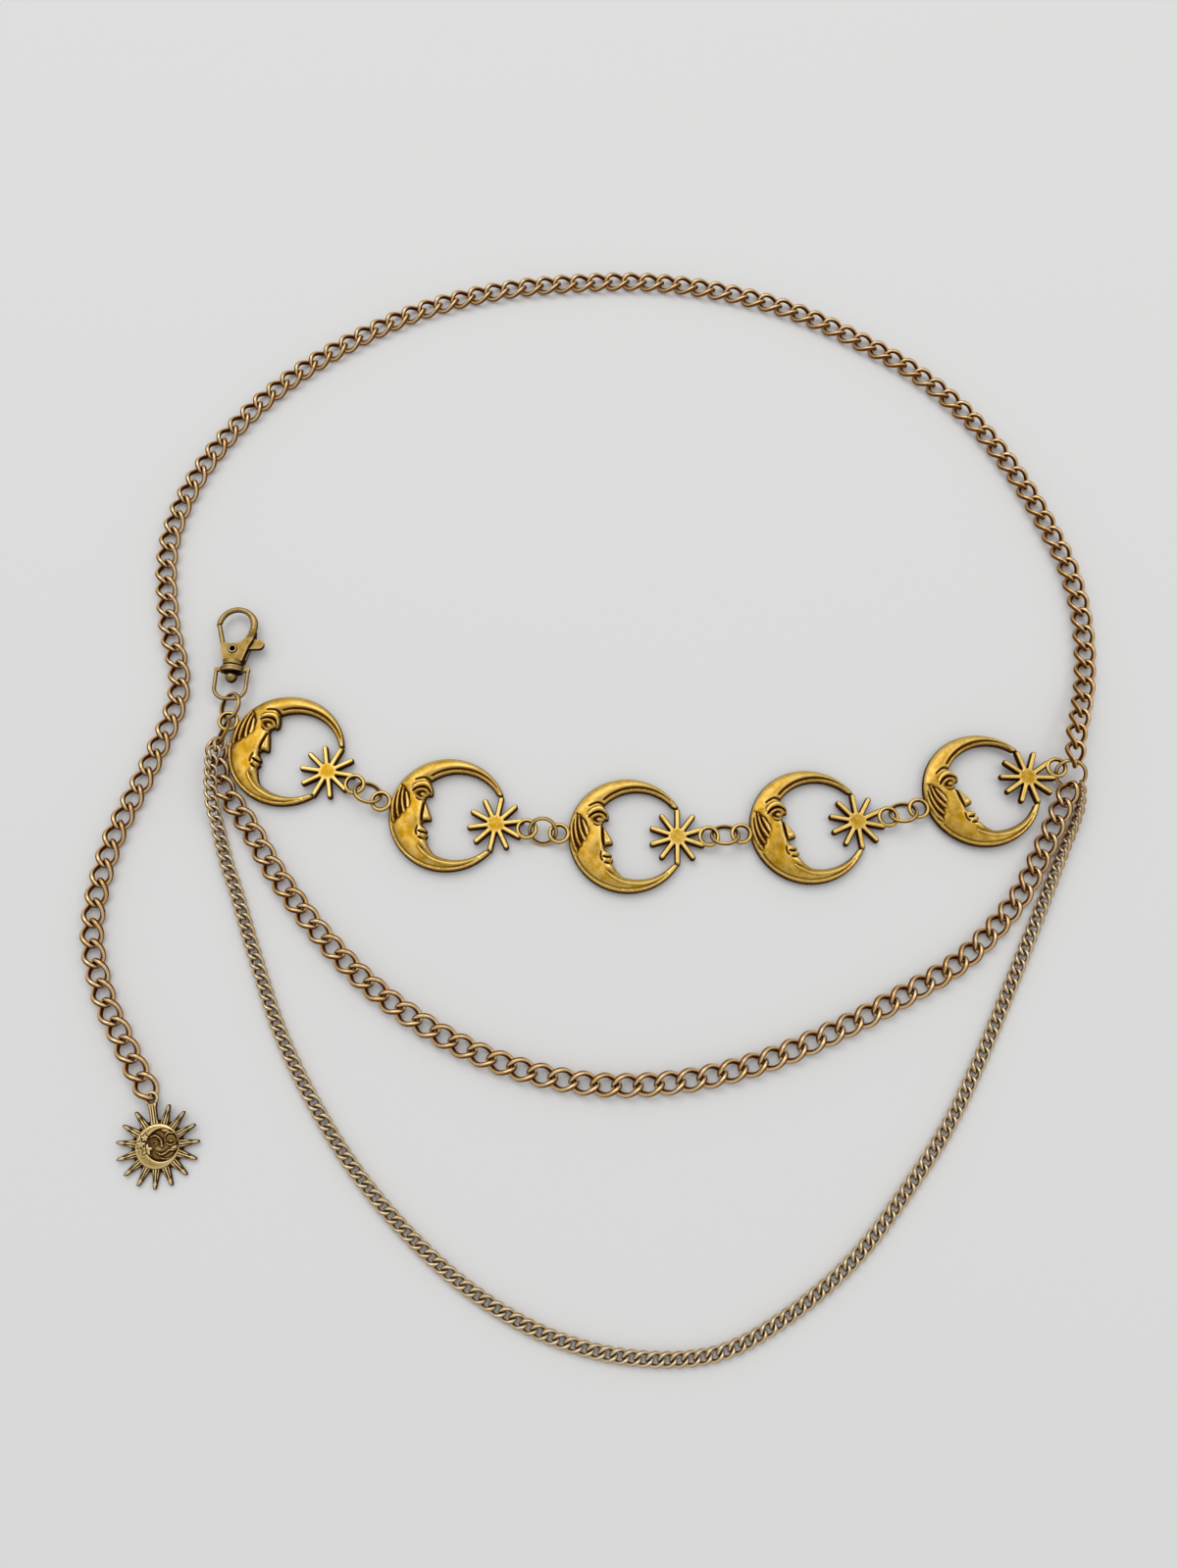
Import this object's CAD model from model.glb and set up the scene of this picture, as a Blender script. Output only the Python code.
import math
import random

import bpy
import numpy as np
from mathutils import Matrix, Vector, geometry


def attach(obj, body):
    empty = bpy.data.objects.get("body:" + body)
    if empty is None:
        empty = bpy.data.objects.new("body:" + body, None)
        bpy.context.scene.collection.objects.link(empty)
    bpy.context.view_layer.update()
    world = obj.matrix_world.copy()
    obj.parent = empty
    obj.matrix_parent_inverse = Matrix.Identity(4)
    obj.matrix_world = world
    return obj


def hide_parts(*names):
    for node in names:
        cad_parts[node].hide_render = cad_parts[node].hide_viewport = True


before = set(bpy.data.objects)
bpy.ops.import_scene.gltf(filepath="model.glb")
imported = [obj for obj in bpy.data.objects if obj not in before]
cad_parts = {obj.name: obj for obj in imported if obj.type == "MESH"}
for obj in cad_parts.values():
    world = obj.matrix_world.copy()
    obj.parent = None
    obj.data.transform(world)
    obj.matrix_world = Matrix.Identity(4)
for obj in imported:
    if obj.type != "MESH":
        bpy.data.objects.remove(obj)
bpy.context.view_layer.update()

# Lengths below are in millimetres, angles in degrees
mm = 0.001
scene = bpy.context.scene
dice = random.Random(11)


# Small helpers for directions, turns and soft steps
def unit(v):
    return v / np.linalg.norm(v, axis=-1, keepdims=True)


def along(angle):
    return np.array([math.cos(math.radians(angle)), math.sin(math.radians(angle))])


def turned(axis, angle):
    return np.array(Matrix.Rotation(math.radians(angle), 3, axis))


def placed(points, turn, shift):
    return points @ turn.T + np.array(shift, float)


def ease(x):
    x = np.clip(x, 0, 1)
    return x * x * (3 - 2 * x)


def roundedRise(share):
    return np.sqrt(np.clip(1 - (1 - np.clip(share, 0, 1)) ** 2, 0, 1))


# A rounded edge that starts at a share of the full height
def shouldered(height, foot, share):
    return height * (foot + (1 - foot) * roundedRise(share))


# Shader maths: a socket that can be used in sums
class Shade:
    def __init__(self, tree, socket=None):
        self.tree = tree
        self.socket = socket

    def add(self, kind, settings=None, inputs=None, output=0):
        node = self.tree.nodes.new(kind)
        for name, value in (settings or {}).items():
            setattr(node, name, value)
        for name, value in (inputs or {}).items():
            if isinstance(value, Shade):
                self.tree.links.new(value.socket, node.inputs[name])
            else:
                node.inputs[name].default_value = value
        return Shade(self.tree, node.outputs[output])

    def sum(self, operation, a, b):
        return self.add("ShaderNodeMath", {"operation": operation}, {0: a, 1: b})

    def __add__(self, other):
        return self.sum("ADD", self, other)

    def __radd__(self, other):
        return self.sum("ADD", other, self)

    def __sub__(self, other):
        return self.sum("SUBTRACT", self, other)

    def __rsub__(self, other):
        return self.sum("SUBTRACT", other, self)

    def __mul__(self, other):
        return self.sum("MULTIPLY", self, other)

    def __rmul__(self, other):
        return self.sum("MULTIPLY", other, self)

    def held(self):
        return self.add("ShaderNodeMath", {"operation": "ADD", "use_clamp": True}, {0: self, 1: 0.0})

    def mixed(self, a, b):
        tones = {6: a if isinstance(a, Shade) else (*a, 1), 7: b if isinstance(b, Shade) else (*b, 1)}
        return self.add("ShaderNodeMix", {"data_type": "RGBA"}, {0: self.held(), **tones}, output=2)


# Antiqued plated metal: worn light on the ridges, dark in the recesses
def antiqueMetal(name, look):
    material = bpy.data.materials.new(name)
    material.use_nodes = True
    tree = material.node_tree
    shader = tree.nodes["Principled BSDF"]
    start = Shade(tree)
    place = start.add("ShaderNodeTexCoord", output="Object")
    recess = start.add("ShaderNodeAttribute", {"attribute_name": "recess"}, output="Fac")
    ridge = start.add("ShaderNodeAttribute", {"attribute_name": "ridge"}, output="Fac")
    tint = start.add("ShaderNodeAttribute", {"attribute_name": "tint"}, output="Fac")

    def cloud(size, detail=3.0):
        return start.add("ShaderNodeTexNoise", {}, {"Vector": place, "Scale": 1 / (size * mm),
                                                    "Detail": detail})

    mottle = cloud(look["mottleSize"])
    grain = cloud(look["grainSize"], 2.0)
    worn = (mottle - 0.5) * look["mottle"] + (grain - 0.5) * look["speckle"] + ridge * look["wear"]
    worn = worn + tint * look["tint"] + look["base"]
    tone = worn.mixed(look["mid"], look["light"])
    patina = recess * (look["patina"] + (grain - 0.5) * look["patinaGrain"])
    patina = (patina + (mottle - look["stainFrom"]) * look["stain"]).held()
    tone = patina.mixed(tone, look["dark"])
    rough = look["rough"] + patina * look["patinaRough"] + (grain - 0.5) * look["grainRough"]
    metal = 1.0 - patina * look["patinaDull"]
    relief = grain * look["grainBump"] + mottle * look["mottleBump"]
    bump = start.add("ShaderNodeBump", {}, {"Height": relief, "Strength": look["bump"],
                                            "Distance": look["bumpDepth"] * mm})
    for socket, value in (("Base Color", tone), ("Roughness", rough), ("Metallic", metal), ("Normal", bump)):
        tree.links.new(value.socket, shader.inputs[socket])
    shader.inputs["Specular IOR Level"].default_value = look["specular"]
    shader.inputs["Specular Tint"].default_value = (*look["edge"], 1)
    return material


# What the finishes share: sizes in millimetres, the rest as strengths
plain = {"mottleSize": 2.6, "grainSize": 0.34, "mottle": 0.9, "speckle": 0.5, "wear": 0.75, "tint": 0.22,
         "base": 0.2, "patina": 1.25, "patinaGrain": 0.9, "patinaRough": 0.2, "patinaDull": 0.15,
         "stain": 0.3, "stainFrom": 0.55, "rough": 0.33, "grainRough": 0.16, "bump": 0.45, "bumpDepth": 0.12,
         "grainBump": 0.7, "mottleBump": 0.5, "specular": 0.3, "edge": (0.9, 0.6, 0.22)}
moonGold = antiqueMetal("moon gold", {
    **plain, "light": (0.82, 0.565, 0.17), "mid": (0.41, 0.215, 0.006), "dark": (0.055, 0.009, 0.001),
    "mottle": 1.5, "speckle": 0.85, "stain": 0.62, "base": 0.13})
copperGold = antiqueMetal("chain copper gold", {
    **plain, "mottleSize": 1.6, "rough": 0.28, "light": (1.0, 0.78, 0.48), "mid": (0.7, 0.385, 0.09),
    "dark": (0.1, 0.018, 0.002)})
paleGold = antiqueMetal("fine chain pale gold", {
    **plain, "mottleSize": 1.2, "rough": 0.28, "light": (1.0, 0.87, 0.64), "mid": (0.7, 0.495, 0.225),
    "dark": (0.125, 0.045, 0.008), "edge": (0.95, 0.8, 0.55)})
ringGold = antiqueMetal("ring gold", {
    **plain, "mottleSize": 1.4, "light": (0.92, 0.67, 0.31), "mid": (0.58, 0.36, 0.09),
    "dark": (0.075, 0.02, 0.003)})
claspBrass = antiqueMetal("clasp olive brass", {
    **plain, "grainSize": 0.28, "light": (0.53, 0.38, 0.17), "mid": (0.19, 0.11, 0.018),
    "dark": (0.02, 0.005, 0.001), "speckle": 0.7, "bump": 0.6})
rivetBrass = antiqueMetal("rivet dark brass", {
    **plain, "light": (0.6, 0.48, 0.26), "mid": (0.3, 0.21, 0.08), "dark": (0.02, 0.006, 0.002)})
pendantBrass = antiqueMetal("pendant brass", {
    **plain, "mottleSize": 1.1, "light": (0.88, 0.66, 0.32), "mid": (0.39, 0.23, 0.042),
    "dark": (0.042, 0.013, 0.002), "patina": 1.3, "wear": 1.0})
print("metals made")


# Mesh helpers
def setValues(mesh, name, values):
    layer = mesh.attributes.new(name, "FLOAT", "POINT")
    layer.data.foreach_set("value", np.asarray(values, np.float32))


# Wear and patina from the surface itself: what lies lower than its surroundings is dark
def markWear(mesh, passes, depth, dark):
    count = len(mesh.vertices)
    points = np.empty(count * 3)
    mesh.vertices.foreach_get("co", points)
    points = points.reshape(-1, 3)
    normals = np.empty(count * 3)
    mesh.vertices.foreach_get("normal", normals)
    normals = normals.reshape(-1, 3)
    ends = np.empty(len(mesh.edges) * 2, int)
    mesh.edges.foreach_get("vertices", ends)
    a, b = ends[0::2], ends[1::2]
    share = 1 + np.bincount(ends, minlength=count)
    soft = points.copy()
    for step in range(passes):
        soft = np.column_stack([
            (soft[:, k] + np.bincount(a, soft[b, k], count) + np.bincount(b, soft[a, k], count)) / share
            for k in range(3)])
    level = ((soft - points) * normals).sum(1) / (depth * mm)
    setValues(mesh, "recess", np.maximum(np.clip(level, 0, 1), dark))
    setValues(mesh, "ridge", np.clip(-level, 0, 1))


def makeMesh(name, points, faces):
    mesh = bpy.data.meshes.new(name)
    mesh.from_pydata((np.asarray(points) * mm).tolist(), [], faces)
    mesh.shade_smooth()
    return mesh


def makePiece(name, mesh, metal, body, slot, *nodes):
    piece = bpy.data.objects.new(name, mesh)
    scene.collection.objects.link(piece)
    mesh.materials.clear()
    mesh.materials.append(metal)
    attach(piece, body)
    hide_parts(*nodes)


# Faces between rings of points, closed on themselves or capped
def sweepFaces(rings, sides, closed):
    last = rings if closed else rings - 1
    faces = []
    for i in range(last):
        a = i * sides
        b = (i + 1) % rings * sides
        faces += [(a + j, b + j, b + (j + 1) % sides, a + (j + 1) % sides) for j in range(sides)]
    if not closed:
        faces += [tuple(range(sides)), tuple(last * sides + j for j in reversed(range(sides)))]
    return faces


# Round wire along a line, from the directions out of and above it at each point
def sweepPoints(line, out, up, radius, sides):
    a = np.arange(sides) * 2 * math.pi / sides
    ring = out[:, None, :] * np.cos(a)[None, :, None] + up[:, None, :] * np.sin(a)[None, :, None]
    return (line[:, None, :] + radius * ring).reshape(-1, 3)


# Patina on a bent wire: darkest on the inside of the bend, less on the outside
bend = {"inner": 0.9, "innerFrom": 0.1, "innerOver": 0.85, "outer": 0.6, "outerFrom": 0.5, "outerOver": 0.42}


def wireDark(rings, sides, inner, outer):
    c = np.cos(np.arange(sides) * 2 * math.pi / sides)
    onInner = ease((bend["innerFrom"] - c) / bend["innerOver"])
    onOuter = ease((c - bend["outerFrom"]) / bend["outerOver"])
    return np.tile(np.maximum(inner * onInner, outer * onOuter), rings)


def wireRing(radius, wire, rings, sides, start=0.0, end=360.0):
    closed = end - start >= 360
    t = np.radians(np.linspace(start, end, rings, endpoint=not closed))
    out = np.column_stack([np.cos(t), np.sin(t), 0 * t])
    up = np.broadcast_to([0.0, 0.0, 1.0], out.shape)
    points = sweepPoints(out * radius, out, up, wire / 2, sides)
    return points, sweepFaces(rings, sides, closed), wireDark(rings, sides, bend["inner"], bend["outer"])


# Several bodies as one: points, faces and how dark each point is
def joined(parts):
    points, faces, dark, first = [], [], [], 0
    for p, f, d in parts:
        points.append(p)
        dark.append(d)
        faces += [tuple(first + k for k in face) for face in f]
        first += len(p)
    return np.vstack(points), faces, np.concatenate(dark)


# Lines and outlines in the plane
def softLine(points, steps=6):
    p = np.array(points, float)
    last = len(p) - 1
    rows = []
    for i in range(last):
        a, b, c, d = [p[min(max(i + k, 0), last)] for k in (-1, 0, 1, 2)]
        for s in range(steps):
            t = s / steps
            rows.append(0.5 * (2 * b + (c - a) * t + (2 * a - 5 * b + 4 * c - d) * t * t
                               + (3 * b - a - 3 * c + d) * t ** 3))
    return np.array(rows + [p[-1]])


def evenly(line, spacing, closed=False):
    p = np.vstack([line, line[:1]]) if closed else line
    s = np.concatenate([[0], np.cumsum(np.linalg.norm(np.diff(p, axis=0), axis=1))])
    n = max(2, round(s[-1] / spacing))
    at = np.linspace(0, s[-1], n, endpoint=False) if closed else np.linspace(0, s[-1], n + 1)
    return np.column_stack([np.interp(at, s, p[:, k]) for k in range(p.shape[1])])


def arcLine(mid, radius, start, end, steps=40):
    t = np.radians(np.linspace(start, end, steps))
    return np.column_stack([mid[0] + radius * np.cos(t), mid[1] + radius * np.sin(t)])


# Distance of points from a line of points, and how far along it the nearest place is
def nearLine(points, line):
    best = np.full(len(points), 1e9)
    share = np.zeros(len(points))
    for i in range(len(line) - 1):
        a, v = line[i], line[i + 1] - line[i]
        t = np.clip(((points - a) @ v) / max(v @ v, 1e-12), 0, 1)
        d = np.linalg.norm(points - a - t[:, None] * v, axis=1)
        nearer = d < best
        best = np.where(nearer, d, best)
        share = np.where(nearer, (i + t) / (len(line) - 1), share)
    return best, share


def insideOutline(points, outline):
    inside = np.zeros(len(points), bool)
    x, y = points[:, 0], points[:, 1]
    for (x1, y1), (x2, y2) in zip(outline, np.roll(outline, -1, axis=0)):
        if y1 != y2:
            crossing = (y1 > y) != (y2 > y)
            inside ^= crossing & (x < (x2 - x1) * (y - y1) / (y2 - y1) + x1)
    return inside


# A raised or sunk line and a raised or sunk mound, as heights at points
def stroke(points, line, width, height, pointed=0.6):
    d, s = nearLine(points, softLine(line))
    w = width * (1 - pointed + pointed * np.sqrt(np.clip(np.sin(math.pi * s), 0, 1)))
    return height * np.clip(1 - (d / np.maximum(w, 0.02)) ** 2, 0, 1) ** 1.3


def mound(points, mid, rx, ry, angle, height):
    u = along(angle)
    v = points - np.array(mid)
    d = np.hypot(v @ u / rx, v @ np.array([-u[1], u[0]]) / ry)
    return height * np.clip(1 - d * d, 0, 1) ** 1.4


def withinOutline(faces, points, outline):
    middles = np.array([points[list(f)].mean(0) for f in faces])
    return [tuple(f) for f, inside in zip(faces, insideOutline(middles, outline)) if inside]


# The net's rows and its distance from the edge by its spacing, the lip by the rim's height
plate = {"rows": 0.87, "clear": 0.55, "lip": 0.45, "edgeDark": 1.35}


# A casting with a flat back: a fine net inside its outline, lifted by a height for each point,
# with patina along a border of its edge
def castPlate(outline, height, spacing, border, depth=1.0):
    outline = np.array(outline, float)
    x, y = outline.T
    if (x * np.roll(y, -1) - y * np.roll(x, -1)).sum() < 0:
        outline = outline[::-1]
    edge = evenly(outline, spacing, closed=True)
    low, high = edge.min(0), edge.max(0)
    xs = np.arange(low[0], high[0], spacing)
    ys = np.arange(low[1], high[1], spacing * plate["rows"])
    net = np.array([[x + (j % 2) * spacing / 2, y] for j, y in enumerate(ys) for x in xs])
    net = net[insideOutline(net, edge)]
    net = net[nearLine(net, np.vstack([edge, edge[:1]]))[0] > spacing * plate["clear"]]
    count = len(edge)
    rim = [(i, (i + 1) % count) for i in range(count)]
    flat = np.vstack([edge, net])
    made = geometry.delaunay_2d_cdt([Vector(p) for p in flat], rim, [], 1, 1e-6, True)
    top = np.array([p[:] for p in made[0]])
    faces = withinOutline(made[2], top, edge)
    back = geometry.delaunay_2d_cdt([Vector(p) for p in edge], rim, [], 1, 1e-6, True)
    spot = {original: i for i, group in enumerate(made[3]) for original in group}
    rimTop = [spot[i] for i in range(count)]
    z = height(top)
    lip = np.column_stack([edge, z[rimTop] * plate["lip"]])
    points = np.vstack([np.column_stack([top, z]), lip, np.column_stack([edge, np.zeros(count)])])
    side, foot = len(top), len(top) + count
    for i in range(count):
        k = (i + 1) % count
        faces += [(rimTop[i], side + i, side + k, rimTop[k]), (side + i, foot + i, foot + k, side + k)]
    names = {i: min(group) for i, group in enumerate(back[3])}
    backFaces = withinOutline(back[2], np.array([p[:] for p in back[0]]), edge)
    faces += [tuple(foot + names[k] for k in reversed(f)) for f in backFaces]
    inward = nearLine(points[:, :2], np.vstack([edge, edge[:1]]))[0]
    return points, faces, depth * np.clip(plate["edgeDark"] - inward / border, 0, 1)


# Moon and star castings
moonCast = {"radius": 20.5, "openRadius": 15.7, "openX": 3.45, "top": 3.2, "edge": 1.1, "lowest": 0.5,
            "above": 0.4, "innerShare": 0.5, "outerShare": 0.55, "rimLeast": 0.5, "fullWidth": 6.5,
            "swell": 0.6, "net": 0.26, "border": 0.34, "sharp": 55, "faceRight": -2.5, "faceTop": 11.5,
            "faceFoot": -14, "faceRim": 1.5, "brow": 137, "chin": 254, "hornX": 16.6, "hornUpper": 9.75,
            "hornLower": -10.15, "hairWidth": 0.72, "hairHeight": 0.95, "wearDepth": 0.15,
            "wearPasses": 14, "tint": 0.4, "loopRadius": 3.1, "loopWire": 1.45, "loopShown": 1.5,
            "loopRings": 56, "loopSides": 16, "loopZ": 2.0, "sink": 0.6}
starCast = {"rays": 10, "reach": 10.0, "x": 17.2, "y": -0.25, "rayWidth": 2.0, "rayEdge": 0.55,
            "rayRound": 0.6, "hub": 3.3, "height": 2.4, "net": 0.24, "border": 0.42, "hornReach": 10.45,
            "hornHalf": 1.2, "notch": 0.9, "notchIn": 0.5, "notchHalf": 0.45, "loopOut": 0.9}
# The profile from the brow down to the chin, and the folds of the face
moonProfile = [(-8.5, 10.75), (-7.9, 9.7), (-7.0, 8.1), (-6.45, 6.4), (-6.85, 5.2), (-8.0, 5.1), (-8.7, 4.0),
               (-8.35, 2.9), (-7.4, 1.6), (-6.1, -0.6), (-5.0, -2.7), (-5.3, -3.6), (-7.0, -4.0),
               (-7.9, -4.7), (-7.3, -5.7), (-6.2, -6.5), (-5.3, -7.4), (-5.6, -8.2), (-4.9, -8.9),
               (-4.9, -9.6), (-5.3, -10.3), (-4.6, -11.3), (-3.6, -12.8), (-2.0, -14.5)]
moonFolds = [
    # line, half width, height
    ([(-13.6, 9.9), (-12.2, 10.7), (-10.2, 11.35), (-8.3, 10.6)], 0.45, -0.6),
    ([(-13.8, 6.9), (-12.1, 8.5), (-9.9, 9.2), (-8.0, 8.5), (-6.9, 6.4)], 0.8, 0.6),
    ([(-13.7, 5.8), (-12.0, 7.3), (-9.9, 7.95), (-8.2, 7.2), (-7.3, 5.9)], 0.45, -0.95),
    ([(-13.1, 5.3), (-11.5, 6.5), (-9.7, 6.85), (-8.4, 6.1)], 0.42, 0.55),
    ([(-12.1, 4.5), (-10.3, 3.7), (-8.8, 4.5)], 0.36, 0.5),
    ([(-12.0, 3.6), (-10.4, 2.9), (-9.0, 3.6)], 0.3, -0.4),
    ([(-9.0, 3.4), (-8.75, 1.0), (-8.6, -1.5), (-8.2, -3.9), (-7.2, -4.3)], 0.6, -1.1),
    ([(-7.9, 2.6), (-7.2, 0.6), (-6.3, -1.4), (-5.8, -2.5)], 1.1, 0.4),
    ([(-8.4, -8.0), (-7.1, -8.25), (-5.2, -8.2)], 0.45, -1.2),
    ([(-7.9, -10.1), (-6.5, -10.5), (-5.0, -10.3)], 0.5, -0.6),
    ([(-9.1, -6.3), (-9.2, -8.2), (-8.5, -9.7)], 0.5, -0.35),
    ([(-7.2, -13.4), (-4.6, -15.4), (-1.0, -16.9), (4.0, -17.3), (9.0, -16.2), (13.5, -13.6)], 0.8, 0.35)]
moonMounds = [
    # middle, half length, half width, turn, height
    ((-10.0, 5.2), 2.9, 1.9, 10, -0.75), ((-10.0, 5.2), 1.05, 0.85, 0, 0.75),
    ((-9.8, 5.2), 0.36, 0.36, 0, -0.4), ((-6.6, -3.0), 1.1, 0.75, 10, 0.3),
    ((-6.6, -7.1), 1.5, 0.75, -28, 0.55), ((-6.3, -9.2), 1.5, 0.7, 8, 0.55),
    ((-5.8, -11.9), 2.2, 1.5, -50, 0.35), ((-11.4, -2.6), 3.4, 5.2, 5, 0.3),
    ((-16.9, 0.4), 8.3, 3.1, 80, -0.62)]
moonRims = [
    # middle, radius, from, to, half width, height, how pointed
    (3.45, 17.25, 134, 48, 0.75, -0.4, 0.5), (3.45, 16.35, 137, 44, 0.5, 0.6, 0.2),
    (0, 19.2, 205, 316, 0.5, -0.2, 0.3), (0, 19.9, 200, 318, 0.4, 0.35, 0.2)]
moonHair = [
    [(-18.2, 7.4), (-19.2, 4.4), (-19.5, 1.6), (-19.2, -1.4), (-18.4, -4.2), (-17.3, -6.6)],
    [(-17.9, 6.9), (-18.2, 3.2), (-17.9, 0.3), (-17.2, -2.4), (-16.1, -4.6)],
    [(-17.0, 6.5), (-16.8, 3.4), (-16.2, 0.8), (-15.3, -1.3), (-14.6, -2.5)],
    [(-15.7, 4.8), (-15.0, 3.0), (-14.3, 1.2), (-13.9, -0.5)]]


def moonInner(start, end):
    c = moonCast
    return np.vstack([arcLine((c["openX"], 0), c["openRadius"], start, c["brow"]), softLine(moonProfile, 4),
                      arcLine((c["openX"], 0), c["openRadius"], c["chin"], end)])


def moonOutline():
    c = moonCast
    return np.vstack([moonInner(41, 318.5), [(c["hornX"], c["hornLower"])],
                      arcLine((0, 0), c["radius"], -30.5, -329, 150), [(c["hornX"], c["hornUpper"])]])


# The crescent swells towards its middle, and the face has a narrower rim
def moonHeight(p):
    c = moonCast
    outer = c["radius"] - np.hypot(p[:, 0], p[:, 1])
    inner = nearLine(p, moonInner(30, 330))[0]
    width = outer + inner
    face = ease((c["faceRight"] - p[:, 0]) / 3) * ease((c["faceTop"] - p[:, 1]) / 1.5)
    face = face * ease((p[:, 1] - c["faceFoot"]) / 2.5)
    innerRise = roundedRise(inner / (c["innerShare"] * width * (1 - face) + c["faceRim"] * face))
    outerRise = roundedRise(outer / np.maximum(c["outerShare"] * width, c["rimLeast"]))
    swell = np.clip(width / c["fullWidth"], 0, 1) ** c["swell"]
    z = c["edge"] + (c["top"] - c["edge"]) * swell * outerRise * innerRise
    for x, radius, start, end, width, height, pointed in moonRims:
        z += stroke(p, arcLine((x, 0), radius, start, end), width, height, pointed)
    for line, width, height in moonFolds:
        z += stroke(p, line, width, height)
    for mid, rx, ry, angle, height in moonMounds:
        z += mound(p, mid, rx, ry, angle, height)
    for line in moonHair:
        z += stroke(p, line, c["hairWidth"], c["hairHeight"])
    return np.clip(z, c["lowest"], c["top"] + c["above"])


def starOutline():
    c = starCast
    half = c["rayWidth"] / 2
    rows = []
    for i in range(c["rays"]):
        angle = 90 + 360 * i / c["rays"]
        reach = c["hornReach"] if abs(math.sin(math.radians(angle))) > 0.99 else c["reach"]
        root = math.sqrt(c["hub"] ** 2 - half ** 2)
        tip = arcLine((reach - half, 0), half, -90, 90, 9)
        ray = np.vstack([[root, -half], tip, [root, half]])
        u = along(angle)
        rows.append(ray @ np.array([u, [-u[1], u[0]]]) + [c["x"], c["y"]])
    return np.vstack(rows)


# The rays have rounded backs, and a notch where two of them meet the horns
def starHeight(p):
    c = starCast
    outline = starOutline()
    d = nearLine(p, np.vstack([outline, outline[:1]]))[0]
    z = shouldered(c["height"], c["rayEdge"], d / c["rayRound"])
    fromHorn = c["hornReach"] - c["notchIn"] - np.abs(p[:, 1] - c["y"])
    onHornRay = np.abs(p[:, 0] - c["x"]) < c["hornHalf"]
    return z - np.where(onHornRay, c["notch"] * np.clip(1 - np.abs(fromHorn) / c["notchHalf"], 0, 1), 0)


reachLeft = -(moonCast["radius"] + moonCast["loopRadius"] + moonCast["loopWire"] / 2 - moonCast["sink"])
reachRight = starCast["x"] + starCast["reach"] + starCast["loopOut"]
crescent = castPlate(moonOutline(), moonHeight, moonCast["net"], moonCast["border"])
star = castPlate(starOutline(), starHeight, starCast["net"], starCast["border"])
loops = []
for x in (reachLeft, reachRight):
    p, f, d = wireRing(moonCast["loopRadius"], moonCast["loopShown"], moonCast["loopRings"],
                       moonCast["loopSides"])
    loops.append((p + [x, 0, moonCast["loopZ"]], f, d))
moonPoints, moonFaces, moonDark = joined([crescent, star, *loops])
print("moon casting has", len(moonFaces), "faces")

# The belt: where each moon lies, as in the part
belt = {"turns": [-27, -11, -1, 7, 16.6], "spans": [-33, -8, 5, 16], "middle": np.array([5.5, -35.9]),
        "ringRadius": 4.6, "ringWire": 1.1, "wireShown": 1.34, "cut": 1.2, "steps": 90, "sides": 14,
        "slack": 1.55, "lean": 34, "lift": 1.45, "rest": 0.05, "ridge": 0.3, "tint": 0.5,
        "sharp": 60}
ringReach = belt["ringRadius"] + moonCast["loopRadius"] - (belt["ringWire"] + moonCast["loopWire"]) / 2
ringSpan = 2 * ringReach - belt["slack"]


def leanHeight(radius, lean):
    return radius * math.sin(math.radians(lean)) + belt["ringWire"] / 2 + belt["rest"]


beltHeight = leanHeight(belt["ringRadius"], belt["lean"])
loopSpan = reachRight - reachLeft
moonCount = len(belt["turns"])
leftLoops = [None] * moonCount
rightLoops = [None] * moonCount
leftLoops[2] = belt["middle"] + reachLeft * along(belt["turns"][2])
# From the middle moon to the right, then to the left
for i in (2, 3, 4, 1, 0):
    u = along(belt["turns"][i])
    if i > 2:
        leftLoops[i] = rightLoops[i - 1] + ringSpan * along(belt["spans"][i - 1])
    if i < 2:
        leftLoops[i] = leftLoops[i + 1] - ringSpan * along(belt["spans"][i]) - loopSpan * u
    rightLoops[i] = leftLoops[i] + loopSpan * u
lastPitch = math.degrees(math.asin(belt["lift"] / loopSpan))

for i in range(moonCount):
    pitch = lastPitch if i == moonCount - 1 else 0
    turn = turned("Z", belt["turns"][i]) @ turned("Y", -pitch)
    points = placed(moonPoints - [reachLeft, 0, moonCast["loopZ"]], turn, [*leftLoops[i], beltHeight])
    mesh = makeMesh(f"moon {i + 1}", points, moonFaces)
    markWear(mesh, moonCast["wearPasses"], moonCast["wearDepth"], moonDark)
    setValues(mesh, "tint", np.full(len(points), dice.uniform(-moonCast["tint"], moonCast["tint"])))
    mesh.set_sharp_from_angle(angle=math.radians(moonCast["sharp"]))
    makePiece(f"moon_{i + 1}_casting", mesh, moonGold, "belt", "moon_gold", f"moon_{i + 1}")
print(moonCount, "moons placed")


# Jump rings: bent wire with its cut showing
def jumpRing(node, at, radius, direction, lean, cutAt):
    c = belt
    points, faces, dark = wireRing(radius, c["wireShown"], c["steps"], c["sides"],
                                   cutAt + c["cut"] / 2, cutAt + 360 - c["cut"] / 2)
    turn = turned("Z", direction) @ turned("X", lean)
    mesh = makeMesh(node, placed(points, turn, at), faces)
    a = np.tile(np.arange(c["sides"]) * 2 * math.pi / c["sides"], c["steps"])
    setValues(mesh, "recess", dark)
    setValues(mesh, "ridge", np.clip(np.sin(a), 0, 1) * c["ridge"])
    setValues(mesh, "tint", np.full(len(points), dice.uniform(-c["tint"], c["tint"])))
    mesh.set_sharp_from_angle(angle=math.radians(c["sharp"]))
    makePiece(node + "_wire", mesh, ringGold, "belt", "ring_gold", node)


def besideLoop(loop, radius, direction, slack):
    reach = radius + moonCast["loopRadius"] - (belt["ringWire"] + moonCast["loopWire"]) / 2 - slack
    return loop + reach * along(direction)


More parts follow.
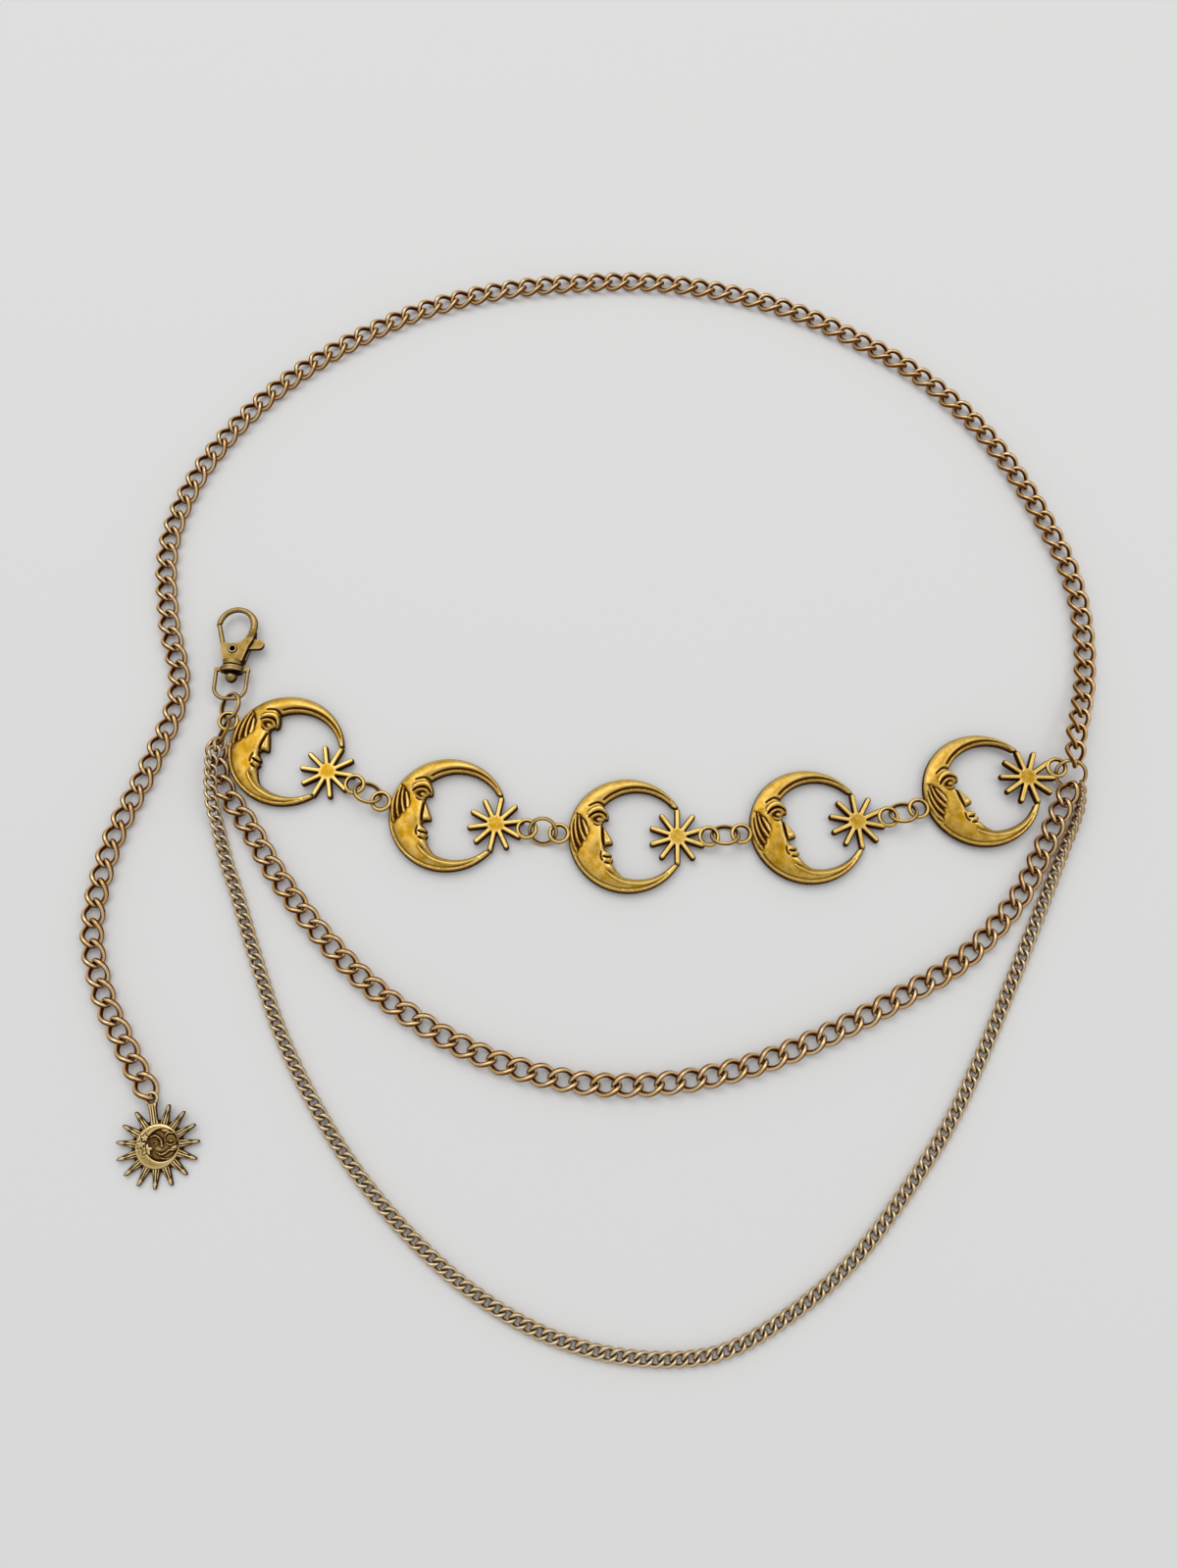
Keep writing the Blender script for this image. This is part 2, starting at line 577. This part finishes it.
for i in range(moonCount - 1):
    mid = (rightLoops[i] + leftLoops[i + 1]) / 2
    lift = -belt["rest"] / 2 if i == 3 else 0
    lean = belt["lean"] if i == 1 else -belt["lean"]
    jumpRing(f"link_ring_{i + 1}", [*mid, beltHeight + lift], belt["ringRadius"], belt["spans"][i], lean,
             60 + 70 * i)
endRings = {
    "clasp_ring": {"radius": belt["ringRadius"], "lean": 36, "way": 88, "slack": 0.68, "turn": -90,
                   "cutAt": 200},
    "side_ring": {"radius": belt["ringRadius"], "lean": 60, "way": -100.6, "slack": 1.52, "turn": -107.8,
                  "cutAt": 130},
    "junction_ring": {"radius": 4.95, "lean": 36, "way": -27, "slack": 1.5, "turn": -27, "cutAt": 95}}
for node, c in endRings.items():
    loop, height = leftLoops[0], leanHeight(c["radius"], c["lean"])
    if node == "junction_ring":
        loop, height = rightLoops[-1], beltHeight + belt["lift"]
    c["at"] = np.array([*besideLoop(loop, c["radius"], c["way"], c["slack"]), height])
    jumpRing(node, c["at"], c["radius"], c["turn"], c["lean"], c["cutAt"])
print("rings placed")

# Curb chains: every link is a twisted oval of round wire
coarse = {"pitch": 7.0, "wire": 1.72, "width": 8.0, "twist": 50, "gap": 0.2, "rest": 2.18, "outerDark": 0.75,
          "rings": 34, "sides": 12}
fine = {"pitch": 3.65, "wire": 1.3, "width": 5.0, "twist": 46, "gap": 0.1, "rest": 1.3, "outerDark": 0.45,
        "rings": 22, "sides": 10}
linkPlay = {"roll": 1, "tint": 0.6, "quietEnds": 4, "innerDark": 0.9, "endDark": 0.35, "ridge": 0.5}


def linkLine(c, t):
    a = (c["pitch"] + c["wire"] + c["gap"]) / 2
    b = (c["width"] - c["wire"]) / 2
    turn = -math.radians(c["twist"]) * np.cos(t)
    return np.column_stack([a * np.cos(t), b * np.sin(t) * np.cos(turn), b * np.sin(t) * np.sin(turn)])


def linkShape(c):
    t = np.arange(c["rings"]) * 2 * math.pi / c["rings"]
    turn = -math.radians(c["twist"]) * np.cos(t)
    ahead = unit(linkLine(c, t + 0.02) - linkLine(c, t - 0.02))
    out = unit(np.cross(ahead, np.column_stack([0 * t, -np.sin(turn), np.cos(turn)])))
    up = np.cross(out, ahead)
    return sweepPoints(linkLine(c, t), out, up, c["wire"] / 2, c["sides"])


# Links along a route, rolled at its ends towards the rings that they hang on
def curbChain(node, c, route, rollStart, rollEnd, metal, slot, fade=4):
    centres = evenly(softLine(route, 8), c["pitch"])
    last = len(centres) - 1
    shape = linkShape(c)
    onePiece = sweepFaces(c["rings"], c["sides"], True)
    a = np.tile(np.arange(c["sides"]) * 2 * math.pi / c["sides"], c["rings"])
    t = np.repeat(np.arange(c["rings"]) * 2 * math.pi / c["rings"], c["sides"])
    linkDark = wireDark(c["rings"], c["sides"], linkPlay["innerDark"], c["outerDark"])
    linkDark = linkDark + linkPlay["endDark"] * np.abs(np.cos(t)) ** 3 * np.clip(-np.cos(a), 0, 1)
    quiet = linkPlay["quietEnds"]
    parts, tints = [], []
    for i, centre in enumerate(centres):
        h = unit(centres[min(i + 1, last)] - centres[max(i - 1, 0)])
        y = unit(np.cross([0, 0, 1], h))
        z = np.cross(h, y)
        roll = math.radians(rollStart * max(0, 1 - i / fade) + rollEnd * max(0, 1 - (last - i) / fade))
        roll += math.radians(dice.uniform(-linkPlay["roll"], linkPlay["roll"])) * (quiet < i < last - quiet)
        y, z = y * math.cos(roll) + z * math.sin(roll), z * math.cos(roll) - y * math.sin(roll)
        link = shape @ np.array([h, y, z]) + centre
        link[:, 2] += max(0, -link[:, 2].min())
        parts.append((link, onePiece, linkDark))
        tints.append(np.full(len(shape), dice.uniform(-linkPlay["tint"], linkPlay["tint"])))
    points, faces, dark = joined(parts)
    mesh = makeMesh(node, points, faces)
    setValues(mesh, "recess", np.clip(dark, 0, 1))
    setValues(mesh, "ridge", np.tile(np.abs(np.sin(a)) ** 3 * linkPlay["ridge"], last + 1))
    setValues(mesh, "tint", np.concatenate(tints))
    print(node, "has", last + 1, "links and", len(faces), "faces")
    makePiece(node + "_links", mesh, metal, "belt", slot, node)


def raised(route, z):
    return [(x, y, lift + z) for x, y, lift in route]


# Bail of the pendant, and the end links that hang on the rings
pendant = {"at": np.array([-145.2, -139.2]), "turn": 103, "pitch": 4, "disc": 7.1, "reach": 13.2,
           "thick": 1.7, "rayThick": 1.2, "rayRoot": 1.2, "flange": 8.2, "flangeThick": 0.8, "places": 15,
           "flangeNet": 0.5, "flangeBorder": 3.0, "bailRadius": 1.75, "bailWire": 1.1, "bailReach": 15.2,
           "bailRings": 40, "bailSides": 14, "rayEdge": 0.6, "rayGroove": 0.5, "neckHalf": 1.35,
           "neckGroove": 0.35, "grooveHalf": 0.2, "net": 0.16, "border": 0.3, "discDepth": 0.7,
           "rayDepth": 0.9, "wearPasses": 10, "wearDepth": 0.09, "sharp": 60}
bailAt = np.array([*(pendant["at"] + pendant["bailReach"] * along(pendant["turn"])),
                   pendant["rayThick"] / 2
                   + (pendant["bailReach"] + pendant["reach"]) * math.sin(math.radians(pendant["pitch"]))])


def endLink(ring, radius, wire, way, rise, slack):
    linkInside = coarse["pitch"] + 0.4
    reach = radius + (linkInside - wire) / 2 - slack
    return (*(ring[:2] + reach * along(way)), ring[2] + rise)


junction = endRings["junction_ring"]
backRoute = [endLink(junction["at"], junction["radius"], belt["ringWire"], 76.2, 2.15, 1.1)] + raised([
    (164.3, -0.4, 4.7), (166.6, 6.2, 3.5), (168.9, 12.8, 2), (171.2, 20, 0.7), (173.6, 34, 0), (174.2, 50, 0),
    (172.6, 65, 0), (169, 79, 0), (158, 107, 0), (143, 133, 0), (123, 155, 0), (99, 172, 0), (73, 186, 0),
    (44, 195, 0), (15, 199, 0), (-15, 198, 0), (-44, 194, 0), (-73, 185, 0), (-99, 171, 0), (-123, 153, 0),
    (-143, 131, 0), (-158, 105, 0), (-165, 77, 0), (-162, 47, 0), (-155, 18, 0), (-162, -10, 0),
    (-172, -39, 0), (-175, -68, 0), (-169, -90, 0), (-162, -103, 0), (-154.9, -115, 0.2)], coarse["rest"]) + [
    endLink(bailAt, pendant["bailRadius"], pendant["bailWire"], 124, 0, 0.65)]
lowerRoute = [(-138.6, -6.1, 4.2)] + raised([
    (-138.4, -10, 1.7), (-137.2, -15, 0.6), (-134.2, -21.3, 0.1), (-129.4, -27.6, 0), (-124.3, -35, 0),
    (-114, -51, 0), (-97, -72, 0), (-78, -90, 0), (-55, -105, 0), (-31, -115, 0), (-5, -120, 0),
    (22, -119, 0), (48, -113, 0), (73, -103, 0), (97, -91, 0), (119, -78, 0), (138.3, -58.6, 0),
    (149.8, -40, 0), (156.0, -28.2, 0.7)], coarse["rest"]) + [(160.0, -20.4, 3.6)]
fineRoute = [(-137.4, -4.4, 6.5)] + raised([
    (-139.3, -9, 5.8), (-139.2, -14, 5.4), (-139.0, -20, 4.6), (-138.1, -26.5, 3.1), (-136.4, -32.5, 1),
    (-134.3, -39.5, 0.05), (-131.8, -47, 0), (-128, -56, 0), (-119, -80, 0), (-109, -104, 0),
    (-96, -127, 0), (-81, -148, 0), (-63, -167, 0), (-43, -183, 0), (-20, -195, 0), (5, -201, 0),
    (31, -200, 0), (54, -189, 0), (75, -173, 0), (92, -154, 0), (108, -133, 0), (121, -111, 0),
    (134, -86, 0), (147, -60, 0.4), (156.6, -40.5, 1.1), (161.4, -31, 1.4), (163.8, -25, 2)],
    fine["rest"]) + [(164.9, -18.5, 3.7)]
curbChain("back_chain", coarse, backRoute, 19, -15, copperGold, "chain_copper")
curbChain("lower_chain", coarse, lowerRoute, -22, -18, copperGold, "chain_copper")
curbChain("fine_chain", fine, fineRoute, -40, -80, paleGold, "chain_pale", 22)

# Sun pendant: a crescent with stars round a sunk face, and ridged rays
sunFace = {
    "edge": 0.62, "recessMid": (1.5, 0.45), "recess": 5.3, "floor": 0.85, "wall": 0.45,
    "starGroove": 0.5, "starRise": 0.3, "groundDark": 0.5, "groundFade": 0.03, "wallDark": 0.95,
    "starDark": 1.2,
    "lines": [
        ([(-0.1, -1.8), (1.2, -2.5), (2.6, -2.1), (3.8, -1.1), (5.4, -1.0), (6.4, -0.2)], 0.42, 0.8),
        ([(1.1, -3.6), (2.6, -3.9), (3.9, -3.7), (5.9, -2.3)], 0.3, 0.4),
        ([(-2.3, 2.7), (-1.6, 3.2), (-0.8, 3.25), (0.1, 2.8), (0.9, 2.0)], 0.38, 0.8),
        ([(2.0, 3.1), (2.6, 4.0), (3.6, 4.35), (5.0, 4.0), (5.9, 2.9)], 0.4, 0.75),
        ([(5.9, 2.9), (6.0, 1.9), (5.5, 1.1), (4.4, 0.5), (3.0, 0.7), (2.3, 1.6), (2.0, 3.1)], 0.26, 0.45),
        ([(-1.8, 1.1), (-0.7, 1.5), (0.2, 1.0)], 0.26, 0.45),
        ([(1.0, 1.9), (1.1, 1.0), (1.3, 0.1)], 0.32, 0.5)],
    "mounds": [((-0.6, 0.7), 0.5, 0.4, 0, 0.6), ((4.0, 1.8), 0.6, 0.55, 0, 0.65),
               ((1.3, 0.1), 0.6, 0.5, 0, 0.7), ((2.3, 5.0), 2.6, 0.9, -12, 0.75),
               ((5.2, -0.3), 1.6, 0.75, 20, 0.7), ((0.4, -1.0), 1.6, 0.9, 0, 0.2)],
    "stars": [(-4.0, 2.5, 1.6), (-5.15, 0.5, 1.75), (-3.1, -1.1, 2.1)]}


def starRegion(p, mid, reach):
    v = p - np.array(mid)
    angle = np.arctan2(v[:, 1], v[:, 0]) - math.pi / 2
    fold = np.abs((angle / (2 * math.pi / 5) + 0.5) % 1 - 0.5) * 2
    return reach * (1 - 0.55 * fold ** 0.8) - np.hypot(v[:, 0], v[:, 1])


def discHeight(p):
    c, s = pendant, sunFace
    edge = c["disc"] - np.hypot(p[:, 0], p[:, 1])
    z = shouldered(c["thick"], s["edge"], edge)
    inRecess = s["recess"] - np.hypot(p[:, 0] - s["recessMid"][0], p[:, 1] - s["recessMid"][1])
    z = z + (s["floor"] - z) * ease(inRecess / s["wall"])
    detail = np.zeros(len(p))
    for line, width, height in s["lines"]:
        detail = np.maximum(detail, stroke(p, line, width, height, 0.4))
    for mid, rx, ry, angle, height in s["mounds"]:
        detail = np.maximum(detail, mound(p, mid, rx, ry, angle, height))
    z = z + detail * ease(inRecess / 0.3)
    for x, y, reach in s["stars"]:
        region = starRegion(p, (x, y), reach)
        z = z - s["starGroove"] * np.clip(1 - np.abs(region) / 0.26, 0, 1)
        z = np.where(region > 0, c["thick"] + s["starRise"] * roundedRise(region / 0.6) - 0.1, z)
    return z


# The sunk ground of the face is dark, what stands out of it is worn
def discDark(points):
    s = sunFace
    p = points[:, :2]
    inRecess = s["recess"] - np.hypot(p[:, 0] - s["recessMid"][0], p[:, 1] - s["recessMid"][1])
    low = np.clip((s["floor"] + 0.5 - points[:, 2]) / 0.45, 0, 1)
    dark = (s["groundDark"] - s["groundFade"] * p[:, 0]) * ease(inRecess / 0.4) * low
    dark = np.maximum(dark, s["wallDark"] * np.clip(1 - np.abs(inRecess - 0.25) / 0.3, 0, 1))
    for x, y, reach in s["stars"]:
        dark = np.maximum(dark, np.clip(s["starDark"] - np.abs(starRegion(p, (x, y), reach)) / 0.2, 0, 1))
    return dark


# An outline from its upper side, mirrored about the ray's middle
def twoSided(side, tip):
    return np.vstack([[(x, -y) for x, y in side], [tip], side[::-1]])


def rayOutline():
    c = pendant
    side = [(c["disc"] - 0.6, c["rayRoot"]), (c["disc"] + 1.4, c["rayRoot"]), (10.5, 0.86),
            (c["reach"] - 0.5, 0.5), (c["reach"] - 0.1, 0.3)]
    return twoSided(side, (c["reach"], 0))


def groove(p, middle, depth):
    return depth * np.clip(1 - ((p[:, 1] - middle) / pendant["grooveHalf"]) ** 2, 0, 1)


# A ray with three ridges that run together at its tip
def rayHeight(p):
    c = pendant
    share = np.clip((p[:, 0] - c["disc"]) / (c["reach"] - c["disc"]), 0, 1)
    half = c["rayRoot"] - 0.6 * share
    z = shouldered(c["rayThick"], c["rayEdge"], (half - np.abs(p[:, 1])) / 0.35)
    for k in (-0.4, 0.4):
        z = z - groove(p, k * half, c["rayGroove"]) * (1 - ease((share - 0.5) / 0.3))
    return z


def flangeHeight(p):
    return np.full(len(p), pendant["flangeThick"])


# Where the bail's ray carries the bail, with two grooves
def neckHeight(p):
    c = pendant
    z = shouldered(c["rayThick"], c["rayEdge"], (c["neckHalf"] - np.abs(p[:, 1])) / 0.5)
    for k in (-0.4, 0.4):
        z = z - groove(p, k, c["neckGroove"]) * ease((c["reach"] - p[:, 0]) / 0.8)
    return z


def circle(radius):
    return arcLine((0, 0), radius, 0, 357, 120)


disc = castPlate(circle(pendant["disc"]), discHeight, pendant["net"], pendant["border"], pendant["discDepth"])
disc = (disc[0], disc[1], np.maximum(disc[2], discDark(disc[0])))
flange = castPlate(circle(pendant["flange"]), flangeHeight, pendant["flangeNet"], pendant["flangeBorder"])
ray = castPlate(rayOutline(), rayHeight, pendant["net"], pendant["border"], pendant["rayDepth"])
parts = [disc, flange]
for i in range(1, pendant["places"]):
    turn = turned("Z", pendant["turn"] + 360 * i / pendant["places"])
    parts.append((placed(ray[0], turn, (0, 0, 0)), ray[1], ray[2]))
neckEnd = pendant["bailReach"] - pendant["bailRadius"]
neckSide = [(6.5, 1.5), (8.6, 1.1), (neckEnd - 1.6, 1.15), (neckEnd + 0.1, 1.65), (neckEnd + 0.5, 1.2)]
neck = castPlate(twoSided(neckSide, (neckEnd + 0.1, 0)), neckHeight, pendant["net"],
                 pendant["border"], pendant["rayDepth"])
bail, bailFaces, bailDark = wireRing(pendant["bailRadius"], pendant["bailWire"], pendant["bailRings"],
                                    pendant["bailSides"])
bail = bail + [pendant["bailReach"], 0, pendant["rayThick"] / 2]
toBail = turned("Z", pendant["turn"])
parts += [(placed(neck[0], toBail, (0, 0, 0)), neck[1], neck[2]),
          (placed(bail, toBail, (0, 0, 0)), bailFaces, bailDark)]
points, faces, dark = joined(parts)
reach = pendant["reach"]
points = placed(points, turned("Z", -pendant["turn"]), (reach, 0, 0))
points = placed(points, turned("Z", pendant["turn"]) @ turned("Y", -pendant["pitch"]),
                [*(pendant["at"] - reach * along(pendant["turn"])), 0])
mesh = makeMesh("sun pendant", points, faces)
markWear(mesh, pendant["wearPasses"], pendant["wearDepth"], dark)
setValues(mesh, "tint", np.zeros(len(points)))
mesh.set_sharp_from_angle(angle=math.radians(pendant["sharp"]))
makePiece("sun_pendant_casting", mesh, pendantBrass, "belt", "pendant_brass", "sun_pendant")
print("pendant made,", len(faces), "faces")


# The clasp, measured from its ball along the hook
claspFrame = {"ball": (-136.337, 22.399), "level": 3.6, "turn": -2,
              "bandFrom": 1.6, "bandTo": 4.3, "bandWide": 4.1, "bandHigh": 3.55,
              "armFrom": 14.2, "armTo": 18.7, "armHigh": 2.3, "bowHigh": 1.15,
              "bowMiddle": (-0.5, 20.5), "bowRadius": 6.3, "bowTop": 26.5, "thicker": 0.34,
              "sideDark": 0.9, "sideFrom": 0.7, "sideOver": 0.5, "wearPasses": 12, "wearDepth": 0.1}
rivetFace = {"at": (-136.277, 32.7036), "ring": 1.68, "ringWidth": 0.2, "ringDark": 1.5, "bore": 1.12,
             "boreSoft": 0.1}


# The swivel's band is an oval barrel with rounded edges
def ovalBand(p):
    c = claspFrame
    x, y, z = p.T
    edge = np.minimum(y - c["bandFrom"], c["bandTo"] - y)
    limit = 1 / np.hypot(x / c["bandWide"], z / c["bandHigh"]) - 0.5 * (1 - roundedRise(edge / 0.7))
    onBand = (edge > -0.1) & (np.hypot(x, z) > 3) & ((np.abs(z) > 0.8) | (np.abs(x) < 4))
    share = np.where(onBand, np.minimum(1, limit), 1)
    return p * np.column_stack([share, np.ones(len(p)), share])


# The hook's arm runs down into the wire of the bow, which is thicker on the arm's side
def slopedArm(p):
    c = claspFrame
    fall = ease((p[:, 1] - c["armFrom"]) / (c["armTo"] - c["armFrom"]))
    limit = c["armHigh"] - (c["armHigh"] - c["bowHigh"]) * fall
    z = np.where(p[:, 1] > c["armFrom"], np.clip(p[:, 2], -limit, limit), p[:, 2])
    out = p[:, :2] - c["bowMiddle"]
    r = np.hypot(*out.T)
    share = ease((p[:, 0] - 1) / 4) * ease((p[:, 1] - c["armFrom"]) / 3) * ease((c["bowTop"] - p[:, 1]) / 4)
    step = c["thicker"] * share * np.clip(r - c["bowRadius"], -1, 1) / r
    return np.column_stack([p[:, :2] + out * step[:, None], z])


# Clasp castings: the part's own solids with soft cast edges
def softCasting(node, voxel, passes, metal, body, reshape=None):
    piece = bpy.data.objects.new(node + " soft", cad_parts[node].data.copy())
    scene.collection.objects.link(piece)
    net = piece.modifiers.new("net", "REMESH")
    net.mode = "VOXEL"
    net.voxel_size = voxel * mm
    soft = piece.modifiers.new("soft", "SMOOTH")
    soft.factor = 0.5
    soft.iterations = passes
    depsgraph = bpy.context.evaluated_depsgraph_get()
    mesh = bpy.data.meshes.new_from_object(piece.evaluated_get(depsgraph))
    bpy.data.objects.remove(piece)
    mesh.name = node
    mesh.shade_smooth()
    count = len(mesh.vertices)
    points, normals = np.empty(count * 3), np.empty(count * 3)
    mesh.vertices.foreach_get("co", points)
    points = points.reshape(-1, 3)
    if reshape:
        at = [*claspFrame["ball"], claspFrame["level"]]
        local = reshape(placed(points / mm - at, turned("Z", -claspFrame["turn"]), (0, 0, 0)))
        points = (placed(local, turned("Z", claspFrame["turn"]), (0, 0, 0)) + at) * mm
        mesh.vertices.foreach_set("co", points.ravel())
        mesh.update()
    mesh.vertices.foreach_get("normal", normals)
    c = claspFrame
    dark = c["sideDark"] * ease((c["sideFrom"] - np.abs(normals[2::3])) / c["sideOver"])
    if node == "clasp_rivet":
        c = rivetFace
        r = np.hypot(points[:, 0] / mm - c["at"][0], points[:, 1] / mm - c["at"][1])
        dark = np.clip(c["ringDark"] - np.abs(r - c["ring"]) / c["ringWidth"], 0, 1)
        dark = dark + np.clip((c["bore"] - r) / c["boreSoft"], 0, 1)
    markWear(mesh, claspFrame["wearPasses"], claspFrame["wearDepth"], dark)
    setValues(mesh, "tint", np.zeros(len(mesh.vertices)))
    print(node, "has", len(mesh.polygons), "faces")
    makePiece(node + "_cast", mesh, metal, body, "clasp_brass", node)


softCasting("clasp_hook", 0.14, 6, claspBrass, "hook", slopedArm)
softCasting("clasp_lever", 0.14, 5, claspBrass, "lever")
softCasting("swivel_eye", 0.14, 4, claspBrass, "belt", ovalBand)
softCasting("clasp_rivet", 0.09, 3, rivetBrass, "hook")

# Table, light and camera
table = {"half": 14.0, "drop": 0.05, "Base Color": (0.8, 0.795, 0.785, 1), "Roughness": 0.7,
         "Specular IOR Level": 0.2}
floorMaterial = bpy.data.materials.new("pale table")
floorMaterial.use_nodes = True
floorShader = floorMaterial.node_tree.nodes["Principled BSDF"]
for socket in ("Base Color", "Roughness", "Specular IOR Level"):
    floorShader.inputs[socket].default_value = table[socket]
half = table["half"]
floorMesh = bpy.data.meshes.new("table")
corners = [(-half, -half, 0), (half, -half, 0), (half, half, 0), (-half, half, 0)]
floorMesh.from_pydata(corners, [], [(0, 1, 2, 3)])
floorMesh.materials.append(floorMaterial)
floor = bpy.data.objects.new("table", floorMesh)
floor.location.z = -table["drop"] * mm
scene.collection.objects.link(floor)

room = {"Strength": 0.62, "Color": (0.96, 0.98, 1.0, 1)}
world = bpy.data.worlds.new("room")
world.use_nodes = True
scene.world = world
for socket, value in room.items():
    world.node_tree.nodes["Background"].inputs[socket].default_value = value

# Soft lights aimed at the middle of the table, in metres and watts
softLights = {
    "window": {"at": (-0.6, 1.5, 2.6), "size": (2.8, 2.0), "power": 29.0, "tone": (1.0, 0.985, 0.965)},
    "lamp": {"at": (1.6, 0.2, 2.2), "size": (1.2, 1.2), "power": 6.5, "tone": (1.0, 0.97, 0.94)}}
for name, c in softLights.items():
    lamp = bpy.data.lights.new(name, "AREA")
    lamp.shape = "RECTANGLE"
    lamp.size, lamp.size_y = c["size"]
    lamp.energy = c["power"]
    lamp.color = c["tone"]
    holder = bpy.data.objects.new(name, lamp)
    holder.location = c["at"]
    holder.rotation_euler = (-Vector(c["at"])).to_track_quat("-Z", "Y").to_euler()
    scene.collection.objects.link(holder)

cameraSet = {"at": (-12.7, -156.3, 412.8), "right": (0.9999, 0, 0.0114), "ahead": (0.0108, 0.3211, -0.947),
             "lens": 28.35, "sensor": 36}
lens = bpy.data.cameras.new("camera")
lens.sensor_fit = "VERTICAL"
lens.sensor_height = cameraSet["sensor"]
lens.lens = cameraSet["lens"]
lens.clip_start = 0.01
camera = bpy.data.objects.new("camera", lens)
right = Vector(cameraSet["right"]).normalized()
ahead = Vector(cameraSet["ahead"]).normalized()
upward = (-ahead).cross(right).normalized()
camera.matrix_world = Matrix.Translation(Vector(cameraSet["at"]) * mm) @ Matrix(
    (right, upward, -ahead)).transposed().to_4x4()
scene.collection.objects.link(camera)
scene.camera = camera
scene.view_settings.view_transform = "Standard"
print("table, light and camera set")
